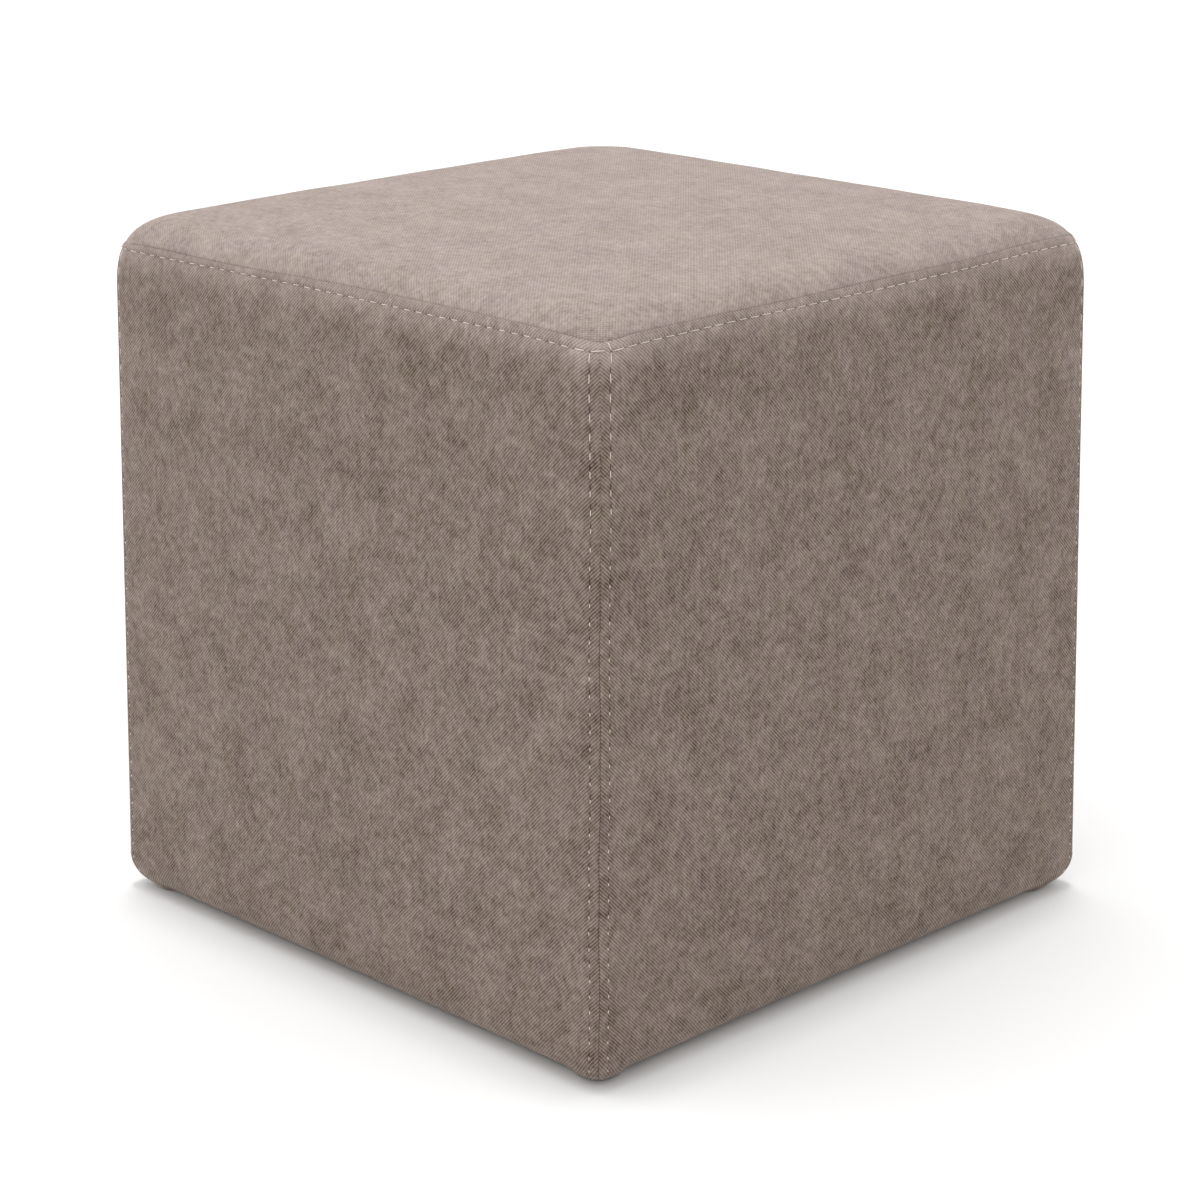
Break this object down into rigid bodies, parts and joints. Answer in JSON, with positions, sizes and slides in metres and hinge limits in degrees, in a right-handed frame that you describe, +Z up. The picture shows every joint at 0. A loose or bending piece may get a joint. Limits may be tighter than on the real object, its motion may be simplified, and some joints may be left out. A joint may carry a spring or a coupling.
{
  "type": "cube pouf stool",
  "caption": "Cube-shaped cloth pouf stool with a softly crowned top, rounded shoulders, sewn panels with corner seams, a rolled foot and a flat underside to rest on.",
  "frame": {"origin": "middle of the underside, on the surface that the stool rests on", "axes": "+Z up; the upright corner between +X and -Y faces the viewer of the picture, -Y is the side seen on the left and +X the side seen on the right"},
  "size_m": [0.394, 0.394, 0.4],
  "materials": {
    "cloth": "taupe plain-weave upholstery cloth with a mottled suede-like nap and a soft sheen",
    "base_cloth": "plain dark underside cloth",
    "thread": "light beige top-stitching thread"
  },
  "bodies": {
    "root": {"top_panel": "cloth", "side_panel_front_left": "cloth", "side_panel_front_right": "cloth", "side_panel_back_right": "cloth", "side_panel_back_left": "cloth", "base_panel": "base_cloth"}
  },
  "joints": []
}
